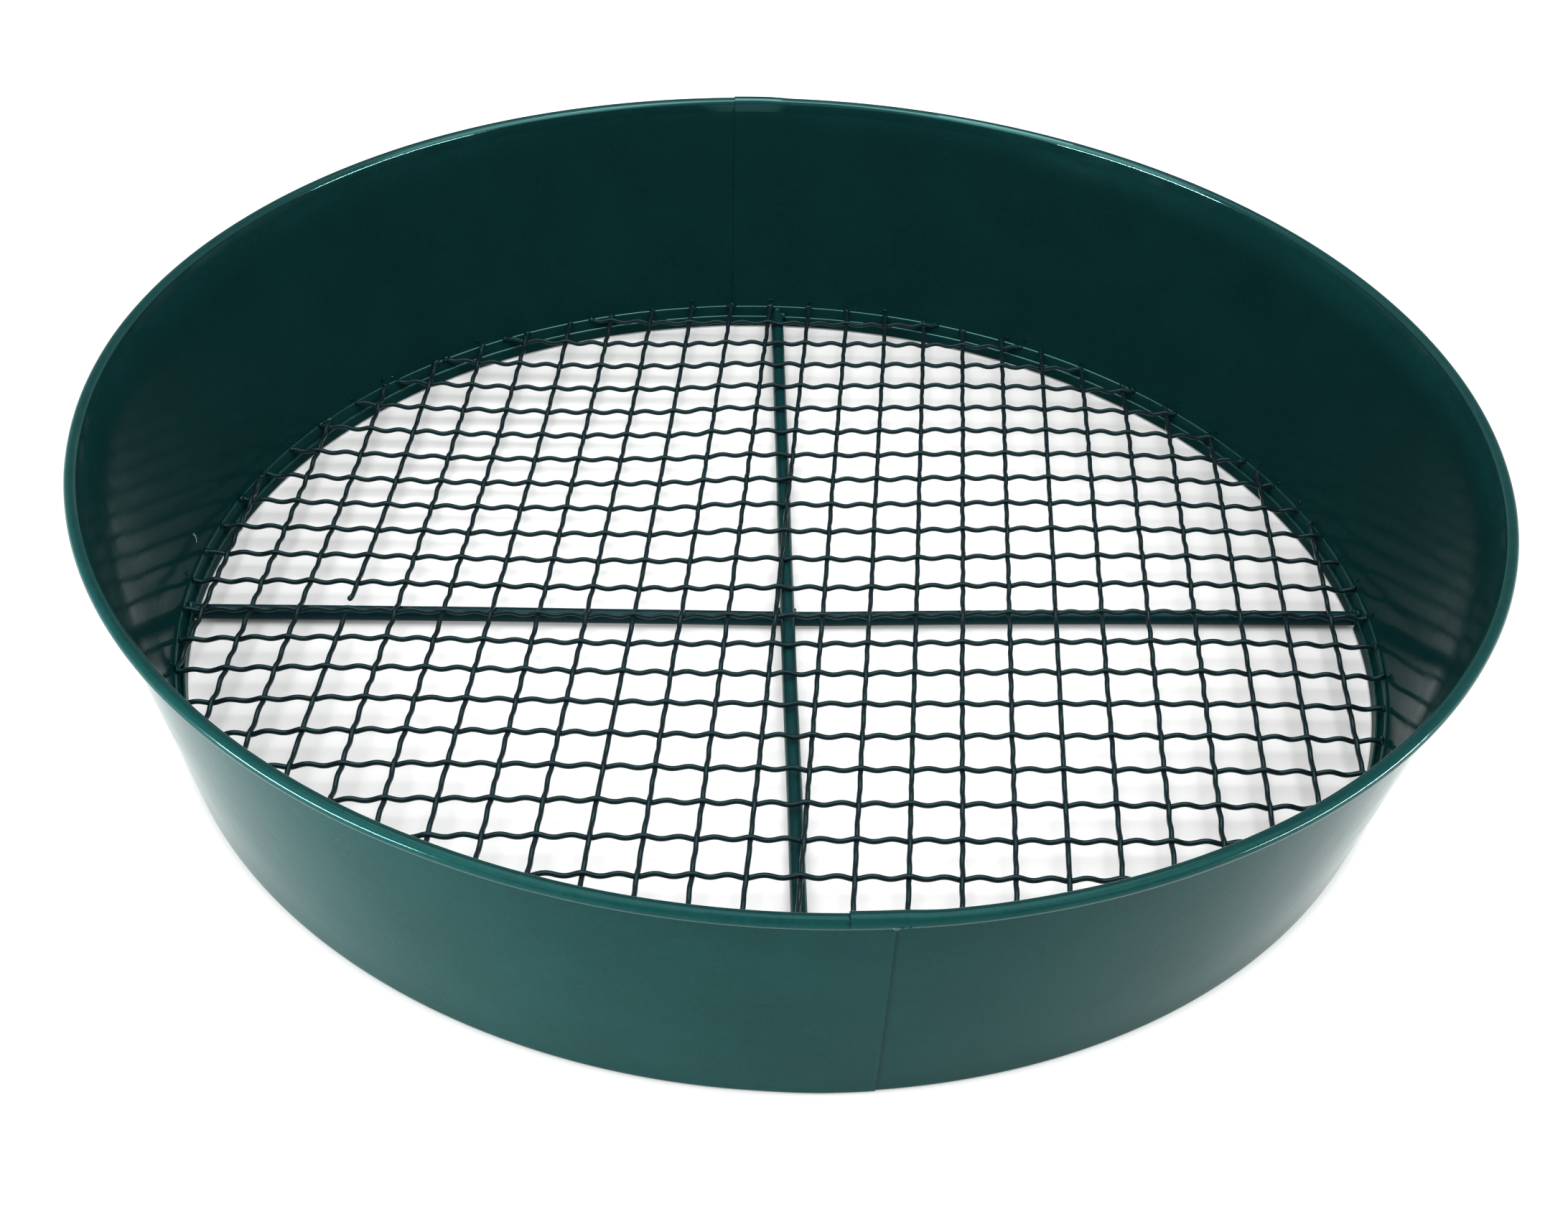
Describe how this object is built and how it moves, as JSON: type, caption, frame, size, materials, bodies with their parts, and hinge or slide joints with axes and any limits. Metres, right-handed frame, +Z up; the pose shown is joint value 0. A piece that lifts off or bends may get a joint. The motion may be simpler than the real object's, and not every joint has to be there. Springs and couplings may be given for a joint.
{
  "type": "soil sieve",
  "caption": "Round riddle for sifting garden soil, a shallow flared steel band with a woven wire mesh floor and crossed support rods, dark green powder coat.",
  "frame": {"origin": "centre of the ring the sieve stands on, on the floor plane", "axes": "+Z up through the open mouth, +X to the right along the left-right rod, +Y to the back"},
  "size_m": [0.3699, 0.3699, 0.0744],
  "materials": {
    "powder_coat_band": "glossy dark green powder coat on sheet steel",
    "powder_coat_rod": "glossy dark green powder coat on round bar",
    "powder_coat_wire": "glossy dark green powder coat on crimped wire"
  },
  "bodies": {
    "root": {"cross_rod_front_back": "powder_coat_rod", "cross_rod_left_right": "powder_coat_rod", "mesh_wire_fb_01": "powder_coat_wire", "mesh_wire_fb_02": "powder_coat_wire", "mesh_wire_fb_03": "powder_coat_wire", "mesh_wire_fb_04": "powder_coat_wire", "mesh_wire_fb_05": "powder_coat_wire", "mesh_wire_fb_06": "powder_coat_wire", "mesh_wire_fb_07": "powder_coat_wire", "mesh_wire_fb_08": "powder_coat_wire", "mesh_wire_fb_09": "powder_coat_wire", "mesh_wire_fb_10": "powder_coat_wire", "mesh_wire_fb_11": "powder_coat_wire", "mesh_wire_fb_12": "powder_coat_wire", "mesh_wire_fb_13": "powder_coat_wire", "mesh_wire_fb_14": "powder_coat_wire", "mesh_wire_fb_15": "powder_coat_wire", "mesh_wire_fb_16": "powder_coat_wire", "mesh_wire_fb_17": "powder_coat_wire", "mesh_wire_fb_18": "powder_coat_wire", "mesh_wire_fb_19": "powder_coat_wire", "mesh_wire_fb_20": "powder_coat_wire", "mesh_wire_fb_21": "powder_coat_wire", "mesh_wire_fb_22": "powder_coat_wire", "mesh_wire_fb_23": "powder_coat_wire", "mesh_wire_fb_24": "powder_coat_wire", "mesh_wire_fb_25": "powder_coat_wire", "mesh_wire_lr_01": "powder_coat_wire", "mesh_wire_lr_02": "powder_coat_wire", "mesh_wire_lr_03": "powder_coat_wire", "mesh_wire_lr_04": "powder_coat_wire", "mesh_wire_lr_05": "powder_coat_wire", "mesh_wire_lr_06": "powder_coat_wire", "mesh_wire_lr_07": "powder_coat_wire", "mesh_wire_lr_08": "powder_coat_wire", "mesh_wire_lr_09": "powder_coat_wire", "mesh_wire_lr_10": "powder_coat_wire", "mesh_wire_lr_11": "powder_coat_wire", "mesh_wire_lr_12": "powder_coat_wire", "mesh_wire_lr_13": "powder_coat_wire", "mesh_wire_lr_14": "powder_coat_wire", "mesh_wire_lr_15": "powder_coat_wire", "mesh_wire_lr_16": "powder_coat_wire", "mesh_wire_lr_17": "powder_coat_wire", "mesh_wire_lr_18": "powder_coat_wire", "mesh_wire_lr_19": "powder_coat_wire", "mesh_wire_lr_20": "powder_coat_wire", "mesh_wire_lr_21": "powder_coat_wire", "mesh_wire_lr_22": "powder_coat_wire", "mesh_wire_lr_23": "powder_coat_wire", "mesh_wire_lr_24": "powder_coat_wire", "mesh_wire_lr_25": "powder_coat_wire", "side_band_left": "powder_coat_band", "side_band_right": "powder_coat_band"}
  },
  "joints": []
}
